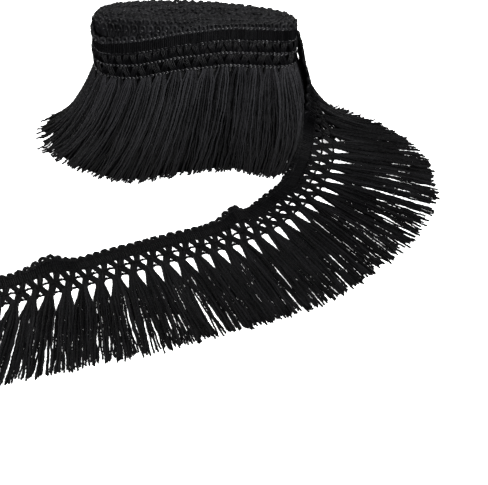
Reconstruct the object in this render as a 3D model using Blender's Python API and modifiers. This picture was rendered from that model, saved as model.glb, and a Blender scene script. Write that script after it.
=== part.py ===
# Tassel fringe trim: a length of black yarn trim wound into a flat oval roll that stands
# on its own fringe, with the last stretch peeled off the right end and laid on the floor.
# Lengths are in metres, +Z is up, and the origin is on the floor under the roll's middle.

import bmesh
import bpy
import numpy as np
from mathutils import Vector

MM = 0.001

# Sizes of the trim, measured across the strip from its top edge
TASSEL_PITCH = 7.0 * MM
HEADING_WIDTH = 19.2 * MM
SHEET_THICKNESS = 1.5 * MM
SCALLOP_DEPTH = 1.2 * MM
NET_TOP = 9.0 * MM
KNOT_ROW = 13.2 * MM
KITE_TOP = 14.4 * MM
DIAMOND_FOOT = 17.2 * MM
DIAMOND_HALF_WIDTH = 2.4 * MM
TASSEL_HEAD_HALF_WIDTH = 1.7 * MM

# Sizes of the fringe and its narrow backing strips
PIECE_GAP = 0.3 * MM
STRIP_GAP = 0.5 * MM
STRIP_WIDTH = 1.4 * MM
STRIP_THICKNESS = 1.2 * MM
STRIP_END = 0.1 * MM
LOCK_THICKNESS = 1.5 * MM
LOCKS_PER_TASSEL = 3
LOCK_ROOT_SPACING = 1.3 * MM
LOCK_ROOT_WIDTH = 1.05 * MM
LOCK_FAN_SPACING = 2.25 * MM
LOCK_FAN_WIDTH = 1.8 * MM
LOCK_PITCH_SHARE = 0.74
FRINGE_LENGTH = 50.0 * MM
LENGTH_SPREAD = 1.6 * MM
LYING_SHARES = (0.2, 0.6, 1.0)
RAISED_SHARES = (0.2, 0.45, 0.72, 1.0)
TASSELS_PER_LOOSE_NODE = 8

# Sizes of the wound roll: each contour is an oval, skewed a little in plan
OVAL_COLUMNS = 56
PLAN_SKEW = -0.05
TURN_THICKNESS = 1.9 * MM
INNER_TURNS = 4
TURN_GROOVE = 2.2 * MM
ROW_PUFF = 0.45 * MM
ROLL_LOCKS = 92
CORE_INSET = 3.0 * MM

# Each oval: centre x and y, half length, half depth and exponent of the superellipse
RIM_OVAL = dict(centre=(0.0, 0.4 * MM), half=(43.6 * MM, 9.6 * MM), power=2.4)
NET_OVAL = dict(centre=(0.2 * MM, -1.0 * MM), half=(43.0 * MM, 13.8 * MM), power=2.4)
FLOOR_OVAL = dict(centre=(-14.2 * MM, -0.5 * MM), half=(55.6 * MM, 25.4 * MM), power=2.5)
FLOOR_BULGES = (
    dict(x=-38.0 * MM, width=24.0 * MM, reach=9.0 * MM),
    dict(x=38.0 * MM, width=15.0 * MM, reach=14.0 * MM),
)
BULGE_RISE = 0.3

# The outer turn from the leaving point by the back to the leaving point again: the turn, and
# the heights of its top edge and of its tassel line in millimetres
LEAVING_TURN = 0.182
LEAVING_GAP = 0.004
HEIGHT_ROWS = (
    (0.182, 63.0, 43.5),
    (0.25, 64.0, 44.0),
    (0.36, 64.0, 44.0),
    (0.44, 62.0, 42.5),
    (0.50, 57.2, 40.5),
    (0.54, 55.2, 39.4),
    (0.58, 54.6, 38.9),
    (0.653, 57.6, 40.3),
    (0.70, 60.1, 43.4),
    (0.738, 63.0, 46.4),
    (0.787, 65.8, 48.9),
    (0.838, 65.6, 48.0),
    (0.90, 64.0, 46.0),
    (0.95, 62.8, 44.8),
    (1.0, 62.2, 44.2),
    (1.09, 62.2, 43.6),
    (1.182, 63.0, 43.5),
)

# The inner turns stand level, and each follows the outer one's slope less than the last
INNER_HEIGHT = 64.5 * MM
FOLLOW_SHARE = 0.33

# The loose strip along its tassel line, in millimetres and degrees: the line's place, how
# steeply the heading stands above it, and where the fringe ends on the floor
LOOSE_COLUMNS = ("x", "y", "z", "lean", "tip_x", "tip_y")
LOOSE_ROWS = (
    (24.0, 12.0, 42.8, 82.0, 27.0, 30.5),
    (35.5, 9.0, 42.4, 85.0, 40.5, 34.0),
    (42.9, 6.4, 40.0, 82.0, 53.0, 33.5),
    (47.4, 4.8, 34.0, 77.0, 65.5, 25.5),
    (51.4, 3.1, 25.0, 66.0, 78.0, 16.0),
    (56.2, 0.6, 15.0, 54.0, 89.0, 6.5),
    (60.4, -4.0, 7.0, 40.0, 97.0, -4.5),
    (62.0, -10.8, 2.9, 27.0, 103.0, -18.0),
    (61.4, -20.7, 1.25, 12.0, 104.6, -33.0),
    (58.8, -29.9, 0.9, 3.0, 103.5, -49.0),
    (53.6, -44.1, 0.75, 0.0, 91.0, -77.0),
    (45.7, -54.9, 0.75, 0.0, 76.0, -95.0),
    (33.4, -69.7, 0.75, 0.0, 58.4, -112.5),
    (14.9, -81.9, 0.75, 0.0, 36.5, -125.5),
    (-4.7, -89.9, 0.75, 0.0, 14.5, -134.5),
    (-24.0, -97.3, 0.75, 0.0, -11.0, -145.0),
    (-42.8, -105.4, 0.75, 0.0, -38.5, -153.5),
    (-61.6, -112.9, 0.75, 0.0, -62.5, -161.0),
    (-79.0, -119.7, 0.75, 0.0, -84.0, -168.0),
    (-96.0, -126.5, 0.75, 0.0, -104.0, -174.5),
)
CURVE_STEPS = 24

# Two wrinkles that lift the loose heading's top edge, by their place along the strip
WRINKLES = (
    dict(x=25.0 * MM, half_length=5.5 * MM, rise=5.0 * MM),
    dict(x=-50.0 * MM, half_length=5.5 * MM, rise=5.2 * MM),
)

YARN_BLACK = (0.012, 0.012, 0.014)
HEADING_BLACK = (0.010, 0.010, 0.012)


def clear_scene():
    for old in list(bpy.data.objects):
        bpy.data.objects.remove(old, do_unlink=True)


def yarn_material(name, colour, roughness):
    material = bpy.data.materials.new(name)
    material.use_nodes = True
    shader = material.node_tree.nodes["Principled BSDF"]
    shader.inputs["Base Color"].default_value = (*colour, 1.0)
    shader.inputs["Roughness"].default_value = roughness
    shader.inputs["Metallic"].default_value = 0.0
    return material


def add_piece(name, bm, colour, roughness, collection):
    bmesh.ops.recalc_face_normals(bm, faces=bm.faces)
    mesh = bpy.data.meshes.new(name)
    bm.to_mesh(mesh)
    bm.free()
    mesh.materials.append(yarn_material(name, colour, roughness))
    piece = bpy.data.objects.new(name, mesh)
    collection.objects.link(piece)
    return piece


def smooth_curve(rows, steps):
    # A Catmull-Rom curve through the table's rows, which keeps every column smooth
    points = np.array(rows, dtype=float)
    last = len(points) - 1
    curve = []
    for i in range(last):
        before, start = points[max(i - 1, 0)], points[i]
        end, after = points[i + 1], points[min(i + 2, last)]
        for t in np.arange(steps) / steps:
            bend = (2 * before - 5 * start + 4 * end - after) * t**2
            twist = (-before + 3 * start - 3 * end + after) * t**3
            curve.append(0.5 * (2 * start + (end - before) * t + bend + twist))
    curve.append(points[last])
    return np.array(curve)


HEIGHTS = smooth_curve(HEIGHT_ROWS, CURVE_STEPS)


class LooseStrip:
    """The loose stretch of trim, read by the distance along its tassel line."""

    def __init__(self):
        curve = smooth_curve(LOOSE_ROWS, CURVE_STEPS)
        columns = {name: curve[:, i] for i, name in enumerate(LOOSE_COLUMNS)}
        self.line = np.column_stack([columns["x"], columns["y"], columns["z"]]) * MM
        self.line[:, 2] = np.maximum(self.line[:, 2], SHEET_THICKNESS / 2)
        self.tips = np.column_stack([columns["tip_x"], columns["tip_y"]]) * MM
        self.lean = np.radians(np.maximum(columns["lean"], 0.0))
        steps = np.linalg.norm(np.diff(self.line, axis=0), axis=1)
        self.along = np.concatenate([[0.0], np.cumsum(steps)])
        self.length = self.along[-1]
        self.tassels = int(self.length // TASSEL_PITCH)
        self.wrinkles = [self.nearest(wrinkle["x"]) for wrinkle in WRINKLES]

    def nearest(self, x):
        # The distance along the flat stretch at which the tassel line passes x
        flat = self.along > self.length / 2
        order = np.argsort(self.line[flat, 0])
        return np.interp(x, self.line[flat, 0][order], self.along[flat][order])

    def read(self, values, distance):
        return np.array([np.interp(distance, self.along, values[:, i]) for i in range(values.shape[1])])

    def frame(self, distance):
        # The point on the tassel line, the way along it and the way up the heading
        point = self.read(self.line, distance)
        ahead = self.read(self.line, distance + MM)
        behind = self.read(self.line, distance - MM)
        way = ahead - behind
        way /= np.linalg.norm(way)
        inward = np.array([way[1], -way[0], 0.0])
        inward /= np.linalg.norm(inward)
        lean = np.interp(distance, self.along, self.lean)
        across = inward * np.cos(lean) + np.array([0.0, 0.0, np.sin(lean)])
        return point, way, across

    def surface(self, distance, width):
        # A point of the sheet's middle surface, width being measured from the top edge
        point, _, across = self.frame(distance)
        place = point + across * (HEADING_WIDTH - width)
        share = max(0.0, 1.0 - width / KNOT_ROW) ** 1.5
        for centre, wrinkle in zip(self.wrinkles, WRINKLES):
            lift = wrinkle["rise"] * np.exp(-(((distance - centre) / wrinkle["half_length"]) ** 2))
            place = place + np.array([0.0, 0.0, lift * share])
        return place

    def under(self, distance, depth):
        # A point in the sheet's plane, this far under the tassel line and square to it
        point, way, across = self.frame(distance)
        return point - across * depth / np.linalg.norm(np.cross(way, across))

    def tip(self, distance):
        x, y = self.read(self.tips, distance)
        return np.array([x, y, 0.0])


def build_heading(strip, collection):
    # One tassel's stretch of the heading and net: an open surface with a diamond hole under
    # the band and half a kite-shaped notch at each side of the tassel's head
    half = TASSEL_PITCH / 2
    quarter = TASSEL_PITCH / 4
    columns = (-half, -quarter, 0.0, quarter, half)
    bm = bmesh.new()
    known = {}

    def vertex(centre, offset, width):
        key = (round((centre + offset) / MM, 3), round(width / MM, 3))
        if key not in known:
            known[key] = bm.verts.new(strip.surface(centre + offset, width))
        return known[key]

    for number in range(strip.tassels):
        centre = (number + 0.5) * TASSEL_PITCH
        tops = [SCALLOP_DEPTH if i % 2 == 0 else 0.0 for i in range(5)]
        for i in range(4):
            left, right = columns[i], columns[i + 1]
            corners = ((left, tops[i]), (right, tops[i + 1]), (right, NET_TOP), (left, NET_TOP))
            bm.faces.new([vertex(centre, *corner) for corner in corners])
        for side in (-1, 1):
            knot = (side * half, KNOT_ROW)
            waist = (side * DIAMOND_HALF_WIDTH, KNOT_ROW)
            head = (side * TASSEL_HEAD_HALF_WIDTH, HEADING_WIDTH)
            foot = (0.0, DIAMOND_FOOT)
            legs = (
                ((side * half, NET_TOP), (side * quarter, NET_TOP), waist, knot),
                ((side * quarter, NET_TOP), (0.0, NET_TOP), waist),
                (knot, waist, head, (side * half, KITE_TOP)),
                (waist, foot, (0.0, HEADING_WIDTH), head),
            )
            for corners in legs:
                order = corners if side < 0 else tuple(reversed(corners))
                bm.faces.new([vertex(centre, *corner) for corner in order])

    piece = add_piece("loose_heading", bm, HEADING_BLACK, 0.8, collection)
    wall = piece.modifiers.new("wall", "SOLIDIFY")
    wall.thickness = SHEET_THICKNESS
    wall.offset = 0.0
    wall.use_even_offset = False
    return piece


def bezier(start, pull, end, share):
    return (1 - share) ** 2 * start + 2 * share * (1 - share) * pull + share**2 * end


def section(middle, wide, thick, width, thickness):
    # The four corners of a lock or strip: left and right on its outer face, then its inner
    return [
        middle - wide * width / 2 + thick * thickness / 2,
        middle + wide * width / 2 + thick * thickness / 2,
        middle + wide * width / 2 - thick * thickness / 2,
        middle - wide * width / 2 - thick * thickness / 2,
    ]


def add_fringe(name, strip_at, end, locks, collection):
    # strip_at gives the backing strip's four corners at a station: upper outer, lower outer,
    # lower inner and upper inner. The strip runs past its last locks by the length end.
    # Each lock has two root stations and a list of sections.
    bm = bmesh.new()
    stations = sorted({station for lock in locks for station in lock["root"]})
    stations = [stations[0] - end] + stations + [stations[-1] + end]
    rings = [[bm.verts.new(corner) for corner in strip_at(station)] for station in stations]
    roots = {lock["root"][0]: lock for lock in locks}
    pending = []
    for i in range(len(stations) - 1):
        here, there = rings[i], rings[i + 1]
        for k in (0, 2, 3):
            after = (k + 1) % 4
            bm.faces.new((here[k], there[k], there[after], here[after]))
        lower = bm.faces.new((here[1], there[1], there[2], here[2]))
        if stations[i] in roots:
            corners = [here[1].co.copy(), there[1].co.copy(), there[2].co.copy(), here[2].co.copy()]
            pending.append((lower, corners, roots[stations[i]]))
    bm.faces.new(rings[0])
    bm.faces.new(reversed(rings[-1]))

    for face, corners, lock in pending:
        for targets in lock["sections"]:
            face = bmesh.ops.extrude_discrete_faces(bm, faces=[face])["faces"][0]
            for vert in face.verts:
                nearest = min(range(4), key=lambda k: (vert.co - corners[k]).length)
                vert.co = targets[nearest]
            corners = [Vector(target) for target in targets]
    return add_piece(name, bm, YARN_BLACK, 0.6, collection)


def loose_lock(strip, centre, slot, rng):
    # A lock of a lying tassel: it leaves the narrow head, fans out and ends level on the floor
    side = slot - (LOCKS_PER_TASSEL - 1) / 2
    root = centre + side * LOCK_ROOT_SPACING
    fan = centre + side * LOCK_FAN_SPACING
    stretch = 1.0 + rng.uniform(-LENGTH_SPREAD, LENGTH_SPREAD) / FRINGE_LENGTH
    level = LOCK_THICKNESS / 2

    def fall(distance, share):
        # A point down the fringe from the strip at this distance to the floor
        start = strip.under(distance, STRIP_GAP + STRIP_WIDTH)
        end = start + (strip.tip(distance) - start) * stretch
        end[2] = level
        pull = 0.5 * (start + end)
        pull[2] = level
        return bezier(start, pull, end, share)

    raised = fall(fan, 0.0)[2] > 3 * level
    sections = []
    for share in RAISED_SHARES if raised else LYING_SHARES:
        middle = fall(fan, share)
        ahead = fall(fan, share + 0.02) - middle
        ahead /= np.linalg.norm(ahead)
        beside = fall(fan + LOCK_FAN_SPACING, share) - middle
        beside -= ahead * np.dot(beside, ahead)
        pitch = np.linalg.norm(beside)
        wide = beside / pitch
        thick = np.cross(wide, ahead)
        thick *= np.sign(thick[2])
        if share == 1.0 or not raised:
            wide[2] = 0.0
            thick = np.array([0.0, 0.0, 1.0])
            middle[2] = level
        width = min(LOCK_FAN_WIDTH, LOCK_PITCH_SHARE * pitch)
        sections.append(section(middle, wide, thick, width, LOCK_THICKNESS))
    half = LOCK_ROOT_WIDTH / 2
    return dict(root=(root - half, root + half), sections=sections)


def build_loose_fringe(strip, collection):
    rng = np.random.default_rng(11)

    def strip_at(station):
        _, way, across = strip.frame(station)
        face = np.cross(way, across)
        face /= np.linalg.norm(face)
        if face[2] < 0:
            face = -face
        upper = strip.under(station, STRIP_GAP)
        lower = strip.under(station, STRIP_GAP + STRIP_WIDTH)
        half = face * STRIP_THICKNESS / 2
        return [upper + half, lower + half, lower - half, upper - half]

    first = 0
    number = 0
    while first < strip.tassels:
        number += 1
        last = min(first + TASSELS_PER_LOOSE_NODE, strip.tassels)
        locks = []
        for tassel in range(first, last):
            centre = (tassel + 0.5) * TASSEL_PITCH
            for slot in range(LOCKS_PER_TASSEL):
                locks.append(loose_lock(strip, centre, slot, rng))
        add_fringe(f"loose_fringe_{number}", strip_at, STRIP_END, locks, collection)
        first = last


def layer(turn):
    # The winding grows by one layer a turn, up to where the loose strip leaves the roll
    return TURN_THICKNESS * ((LEAVING_TURN - turn) % 1.0)


def oval_point(oval, turn, inset=0.0):
    # A point of a superellipse at the given turn (0 to 1, from the right end by the back)
    angle = 2 * np.pi * turn
    reach_x = max(oval["half"][0] - inset, 0.0)
    reach_y = max(oval["half"][1] - inset, 0.0)
    power = 2 / oval["power"]
    x = oval["centre"][0] + reach_x * np.sign(np.cos(angle)) * abs(np.cos(angle)) ** power
    y = oval["centre"][1] + reach_y * np.sign(np.sin(angle)) * abs(np.sin(angle)) ** power
    return np.array([x, y + PLAN_SKEW * x])


def height_at(turn, column):
    # The outer turn's height at its top edge (column 1) or its tassel line (column 2)
    around = LEAVING_TURN + (turn - LEAVING_TURN) % 1.0
    return np.interp(around, HEIGHTS[:, 0], HEIGHTS[:, column]) * MM


def net_point(turn, inset=0.0):
    x, y = oval_point(NET_OVAL, turn, inset - layer(turn))
    return np.array([x, y, height_at(turn, 2)])


def rim_point(turn, inset=0.0):
    x, y = oval_point(RIM_OVAL, turn, inset - layer(turn))
    return np.array([x, y, height_at(turn, 1)])


def floor_point(turn, inset=0.0):
    # The fringe spreads further to the front at both ends
    x, y = oval_point(FLOOR_OVAL, turn, inset - layer(turn))
    share = np.clip(-np.sin(2 * np.pi * turn) / BULGE_RISE, 0.0, 1.0)
    front = share * share * (3 - 2 * share)
    for bulge in FLOOR_BULGES:
        y -= front * bulge["reach"] * np.exp(-(((x - bulge["x"]) / bulge["width"]) ** 2))
    return np.array([x, y, 0.0])


def hang(turn, inset, share):
    # A point down the fringe's fall from the tassel line to the floor
    start = net_point(turn, inset)
    end = floor_point(turn, inset)
    pull = 0.62 * start + 0.38 * end
    pull[2] = 0.3 * start[2]
    return bezier(start, pull, end, share)


def roll_profile(turn):
    # From the floor up the wall, over the outer turn and across the nested inner turns
    points = [hang(turn, CORE_INSET, share) for share in (1.0, 0.66, 0.33)]
    points.append(net_point(turn, CORE_INSET))
    net = net_point(turn)
    points.append(net)
    rim = rim_point(turn)
    outward = net - net_point(turn, MM)
    outward[2] = 0.0
    length = np.linalg.norm(outward)
    outward = outward / length if length > 0 else outward
    rows = ((0.17, 1.0), (0.34, 0.0), (0.5, 1.0), (0.66, 0.0), (0.95, 0.0))
    for share, puff in rows:
        points.append(net + (rim - net) * share + outward * ROW_PUFF * puff)
    points.append(rim_point(turn, 0.5 * MM))
    points.append(rim_point(turn, TURN_THICKNESS - 0.5 * MM + layer(turn) / 2))
    for number in range(1, INNER_TURNS + 1):
        inset = number * TURN_THICKNESS
        height = INNER_HEIGHT + (height_at(turn, 1) - INNER_HEIGHT) * FOLLOW_SHARE**number
        for step, depth in ((0.15, TURN_GROOVE), (0.4, 0.0), (0.85, 0.0)):
            x, y = oval_point(RIM_OVAL, turn, inset + step * TURN_THICKNESS)
            points.append(np.array([x, y, height - depth]))
    x, y = oval_point(RIM_OVAL, turn, (INNER_TURNS + 1) * TURN_THICKNESS)
    points.append(np.array([x, y, INNER_HEIGHT - TURN_GROOVE]))
    return points


def build_roll(collection):
    # The wound roll: a loft round the oval of one profile that changes from side to side
    bm = bmesh.new()
    shares, turns, _ = turn_by_length()
    columns = []
    for i in range(OVAL_COLUMNS):
        turn = np.interp((i + 0.5) / OVAL_COLUMNS, shares, turns)
        columns.append([bm.verts.new(point) for point in roll_profile(turn)])
    rows = len(columns[0])
    for i in range(OVAL_COLUMNS):
        here, there = columns[i], columns[(i + 1) % OVAL_COLUMNS]
        for k in range(rows - 1):
            bm.faces.new((here[k], there[k], there[k + 1], here[k + 1]))
    bm.faces.new([column[0] for column in reversed(columns)])
    bm.faces.new([column[-1] for column in columns])
    return add_piece("wound_roll", bm, HEADING_BLACK, 0.7, collection)


def turn_by_length():
    # Shares of the tassel line's oval by length, the turns they fall on and the full length
    turns = np.linspace(0.0, 1.0, 721)
    points = np.array([net_point(turn)[:2] for turn in turns])
    steps = np.linalg.norm(np.diff(points, axis=0), axis=1)
    along = np.concatenate([[0.0], np.cumsum(steps)])
    return along / along[-1], turns, along[-1]


def build_roll_fringe(collection):
    shares, turns, outline = turn_by_length()
    rng = np.random.default_rng(5)

    def turn_at(share):
        return np.interp(share % 1.0, shares, turns)

    def strip_at(share):
        turn = turn_at(share)
        outer = net_point(turn, PIECE_GAP)
        inner = net_point(turn, PIECE_GAP + LOCK_THICKNESS)
        upper = np.array([0.0, 0.0, -STRIP_GAP])
        lower = np.array([0.0, 0.0, -STRIP_GAP - STRIP_WIDTH])
        return [outer + upper, outer + lower, inner + lower, inner + upper]

    # Sides of the roll by share of the oval's length, counted from the right end by the back
    leaving = np.interp(LEAVING_TURN, turns, shares)
    sides = dict(
        right=(-0.06, leaving - LEAVING_GAP),
        back=(leaving + LEAVING_GAP, 0.44),
        left=(0.44, 0.56),
        front=(0.56, 0.94),
    )
    for side, (begin, end) in sides.items():
        count = round((end - begin) * ROLL_LOCKS)
        pitch = (end - begin) / count
        locks = []
        for i in range(count):
            middle = begin + (i + 0.5) * pitch
            half = 0.5 * pitch * LOCK_PITCH_SHARE
            root = (middle - half, middle + half)
            drift = rng.uniform(-0.06, 0.06) * pitch
            sections = []
            for fall in (0.3, 0.65, 1.0):
                corners = []
                for share, inset in ((root[0], 0), (root[1], 0), (root[1], 1), (root[0], 1)):
                    turn = turn_at(share + drift * fall)
                    depth = PIECE_GAP + inset * LOCK_THICKNESS
                    corners.append(hang(turn, depth, fall))
                sections.append(corners)
            locks.append(dict(root=root, sections=sections))
        add_fringe(f"roll_fringe_{side}", strip_at, STRIP_END / outline, locks, collection)


def main():
    clear_scene()
    collection = bpy.data.collections.new("tassel_fringe_trim")
    bpy.context.scene.collection.children.link(collection)
    strip = LooseStrip()
    build_roll(collection)
    build_roll_fringe(collection)
    build_heading(strip, collection)
    build_loose_fringe(strip, collection)


main()
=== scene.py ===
import bmesh
import bpy
import numpy as np
from mathutils import Euler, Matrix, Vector


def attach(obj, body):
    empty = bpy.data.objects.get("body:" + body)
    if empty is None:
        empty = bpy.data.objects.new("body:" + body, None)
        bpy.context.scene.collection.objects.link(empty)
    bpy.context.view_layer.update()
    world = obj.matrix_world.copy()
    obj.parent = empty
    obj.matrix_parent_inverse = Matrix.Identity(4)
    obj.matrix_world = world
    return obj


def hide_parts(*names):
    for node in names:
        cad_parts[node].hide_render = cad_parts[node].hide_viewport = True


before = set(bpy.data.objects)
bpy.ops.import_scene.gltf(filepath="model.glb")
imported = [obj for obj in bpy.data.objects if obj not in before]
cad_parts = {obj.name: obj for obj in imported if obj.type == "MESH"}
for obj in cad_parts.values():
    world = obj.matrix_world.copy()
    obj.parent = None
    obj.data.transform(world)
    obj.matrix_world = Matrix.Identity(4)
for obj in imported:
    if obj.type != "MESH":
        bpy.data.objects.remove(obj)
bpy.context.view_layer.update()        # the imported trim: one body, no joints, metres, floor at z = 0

mm = 0.001
rng = np.random.default_rng(27)

# The trim, measured across the strip from its scalloped top edge down to the tassels
trim = dict(
    pitch=7.0 * mm,             # from one tassel to the next
    lineA=1.8 * mm,             # chain stitch under the scallops
    lineB=7.8 * mm,             # chain stitch at the foot of the ribbed band
    lineC=13.2 * mm,            # chain stitch over the first row of knots
    lineD=19.2 * mm,            # tassel line, over the tassels' heads
    sheet=1.5 * mm,             # thickness of the strip where it lies flat
)

# The loose stretch along its tassel line, in millimetres and degrees: the line's place, how
# steeply the heading stands above it, and where the fringe ends on the floor
looseRows = (
    # x, y, z, lean, tip x, tip y
    (24.0, 12.0, 42.8, 82.0, 27.0, 30.5),
    (35.5, 9.0, 42.4, 85.0, 40.5, 34.0),
    (42.9, 6.4, 40.0, 82.0, 53.0, 33.5),
    (47.4, 4.8, 34.0, 77.0, 65.5, 25.5),
    (51.4, 3.1, 25.0, 66.0, 78.0, 16.0),
    (56.2, 0.6, 15.0, 54.0, 89.0, 6.5),
    (60.4, -4.0, 7.0, 40.0, 97.0, -4.5),
    (62.0, -10.8, 2.9, 27.0, 103.0, -18.0),
    (61.4, -20.7, 1.25, 12.0, 104.6, -33.0),
    (58.8, -29.9, 0.9, 3.0, 103.5, -49.0),
    (53.6, -44.1, 0.75, 0.0, 91.0, -77.0),
    (45.7, -54.9, 0.75, 0.0, 76.0, -95.0),
    (33.4, -69.7, 0.75, 0.0, 58.4, -112.5),
    (14.9, -81.9, 0.75, 0.0, 36.5, -125.5),
    (-4.7, -89.9, 0.75, 0.0, 14.5, -134.5),
    (-24.0, -98.2, 0.75, 0.0, -11.0, -145.0),
    (-42.8, -107.0, 0.75, 0.0, -38.5, -153.5),
    (-61.6, -114.3, 0.75, 0.0, -62.5, -161.0),
    (-79.0, -120.6, 0.75, 0.0, -84.0, -168.0),
    (-96.0, -127.2, 0.75, 0.0, -104.0, -174.5),
)
looseSteps = 24
looseNarrow = 0.08              # how much the laid heading is drawn in across
wrinkles = (                    # where the loose heading's top edge is lifted off the floor
    dict(x=26.0 * mm, halfLength=6.5 * mm, rise=5.0 * mm),
    dict(x=-52.0 * mm, halfLength=8.0 * mm, rise=4.8 * mm),
)

# The wound roll: every turn is an oval, skewed a little in plan and set inside the last one
roll = dict(
    skew=-0.05,
    turn=1.9 * mm,              # how far each turn lies inside the last
    turns=5.7,                  # from the leaving point to the inner end
    leaving=0.182,              # where the loose stretch leaves, as a share of the oval
    innerHeight=64.5 * mm,
    follow=0.33,                # how much of the last turn's slope each inner turn takes over
)
rimOval = dict(centre=(0.0, 0.4 * mm), half=(43.6 * mm, 9.6 * mm), power=2.4)
netOval = dict(centre=(0.2 * mm, -1.0 * mm), half=(43.0 * mm, 13.8 * mm), power=2.4)
floorOval = dict(centre=(-14.2 * mm, -0.5 * mm), half=(55.6 * mm, 25.4 * mm), power=2.5)
floorBulges = (                 # where the fringe spreads further to the front
    dict(x=-33.0 * mm, width=26.0 * mm, reach=11.0 * mm),
    dict(x=38.0 * mm, width=15.0 * mm, reach=14.0 * mm),
)
endSwell = 5.5 * mm             # how far the fringe bellies out at the roll's right end
heightRows = (                  # the outer turn round the oval: its top edge and tassel line
    # turn, top edge, tassel line
    (0.182, 63.0, 43.5),
    (0.25, 64.0, 44.0),
    (0.36, 64.0, 44.0),
    (0.44, 62.0, 42.5),
    (0.50, 57.2, 40.5),
    (0.54, 55.2, 39.4),
    (0.58, 54.6, 38.9),
    (0.653, 57.6, 40.3),
    (0.70, 60.1, 43.4),
    (0.738, 63.0, 46.4),
    (0.787, 65.8, 48.9),
    (0.838, 65.6, 48.0),
    (0.90, 64.0, 46.0),
    (0.95, 62.8, 44.8),
    (1.0, 62.2, 44.2),
    (1.09, 62.2, 43.6),
    (1.182, 63.0, 43.5),
)


def lerp(start, end, share):
    return start + (end - start) * share


def smooth(low, high, value):
    share = np.clip((value - low) / (high - low), 0.0, 1.0)
    return share * share * (3.0 - 2.0 * share)


def unit(vectors):
    return vectors / np.maximum(np.linalg.norm(vectors, axis=-1, keepdims=True), 1e-12)


def catmullRom(rows, steps):
    points = np.array(rows, dtype=float)
    last = len(points) - 1
    curve = []
    for i in range(last):
        before, start = points[max(i - 1, 0)], points[i]
        end, after = points[i + 1], points[min(i + 2, last)]
        for t in np.arange(steps) / steps:
            bend = (2 * before - 5 * start + 4 * end - after) * t**2
            twist = (-before + 3 * start - 3 * end + after) * t**3
            curve.append(0.5 * (2 * start + (end - before) * t + bend + twist))
    curve.append(points[last])
    return np.array(curve)


def pathLength(points):
    steps = np.linalg.norm(np.diff(points, axis=0), axis=1)
    return np.concatenate([[0.0], np.cumsum(steps)])


# The loose stretch, read by the distance s along its tassel line from the roll
looseTable = catmullRom(looseRows, looseSteps)
looseLine = looseTable[:, :3] * mm
looseLine[:, 2] = np.maximum(looseLine[:, 2], trim["sheet"] / 2)
looseLean = np.radians(np.maximum(looseTable[:, 3], 0.0))
looseTips = looseTable[:, 4:6] * mm
looseAlong = pathLength(looseLine)
looseLength = looseAlong[-1]
looseTassels = int(looseLength // trim["pitch"])


def readLoose(values, s):
    return np.stack([np.interp(s, looseAlong, values[:, i]) for i in range(values.shape[1])], -1)


def looseAtX(x):
    flat = looseAlong > looseLength / 2
    order = np.argsort(looseLine[flat, 0])
    return np.interp(x, looseLine[flat, 0][order], looseAlong[flat][order])


def looseFrame(s):
    inside = np.clip(s, mm, looseLength - mm)
    way = unit(readLoose(looseLine, inside + mm) - readLoose(looseLine, inside - mm))
    point = readLoose(looseLine, inside) + way * (s - inside)[..., None]
    inward = unit(np.stack([way[..., 1], -way[..., 0], np.zeros_like(s)], -1))
    lean = np.interp(s, looseAlong, looseLean)[..., None]
    across = inward * np.cos(lean) + np.array([0.0, 0.0, 1.0]) * np.sin(lean)
    return point, way, across, unit(np.cross(across, way))


def loosePlace(s, w, h):
    # A point of the loose heading: s along it, w down from its top edge, h above its middle
    s, w, h = np.broadcast_arrays(np.asarray(s, float), w, h)
    point, way, across, face = looseFrame(s)
    lean = np.interp(s, looseAlong, looseLean)
    up = (1 - looseNarrow * np.cos(lean) ** 2) * (trim["lineD"] - w)
    place = point + across * up[..., None] + face * h[..., None]
    share = np.maximum(0.0, 1.0 - w / trim["lineD"]) ** 1.2
    for wrinkle in wrinkles:
        centre = looseAtX(wrinkle["x"])
        lift = wrinkle["rise"] * np.exp(-(((s - centre) / wrinkle["halfLength"]) ** 2)) * share
        place[..., 2] += lift
    return place


def looseFall(s, share, stretch):
    # A point down the loose fringe, from the tassel line at share 0 to the floor at share 1
    level = trim["sheet"] / 2
    start, _, _, _ = looseFrame(s)
    end = np.concatenate([readLoose(looseTips, s), np.zeros_like(s)[..., None]], -1)
    end = start + (end - start) * stretch[..., None]
    end[..., 2] = level
    pull = 0.5 * (start + end)
    pull[..., 2] = level
    share = share[..., None]
    return (1 - share) ** 2 * start + 2 * share * (1 - share) * pull + share**2 * end


def looseHang(s, share, h, stretch):
    nudge = 0.5 * mm
    place = looseFall(s, share, stretch)
    beside = looseFall(s + nudge, share, stretch) - looseFall(s - nudge, share, stretch)
    down = looseFall(s, share + 0.01, stretch) - looseFall(s, share - 0.01, stretch)
    return place + unit(np.cross(beside, down)) * h[..., None]


# The wound roll, read by turns from the leaving point inwards
def ovalPoint(oval, turns, out):
    angle = 2 * np.pi * (roll["leaving"] + turns)
    power = 2 / oval["power"]
    reachX = np.maximum(oval["half"][0] + out, 0.0)
    reachY = np.maximum(oval["half"][1] + out, 0.0)
    x = oval["centre"][0] + reachX * np.sign(np.cos(angle)) * np.abs(np.cos(angle)) ** power
    y = oval["centre"][1] + reachY * np.sign(np.sin(angle)) * np.abs(np.sin(angle)) ** power
    return np.stack([x, y + roll["skew"] * x, np.zeros_like(x)], -1)


heightTable = catmullRom(heightRows, looseSteps)


def outerHeight(turns, column):
    around = roll["leaving"] + turns % 1.0
    return np.interp(around, heightTable[:, 0], heightTable[:, column]) * mm


def rollNet(turns, depth):
    point = ovalPoint(netOval, turns, roll["turn"] * (1 - turns) - depth)
    point[..., 2] = outerHeight(turns, 2)
    return point


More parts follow.
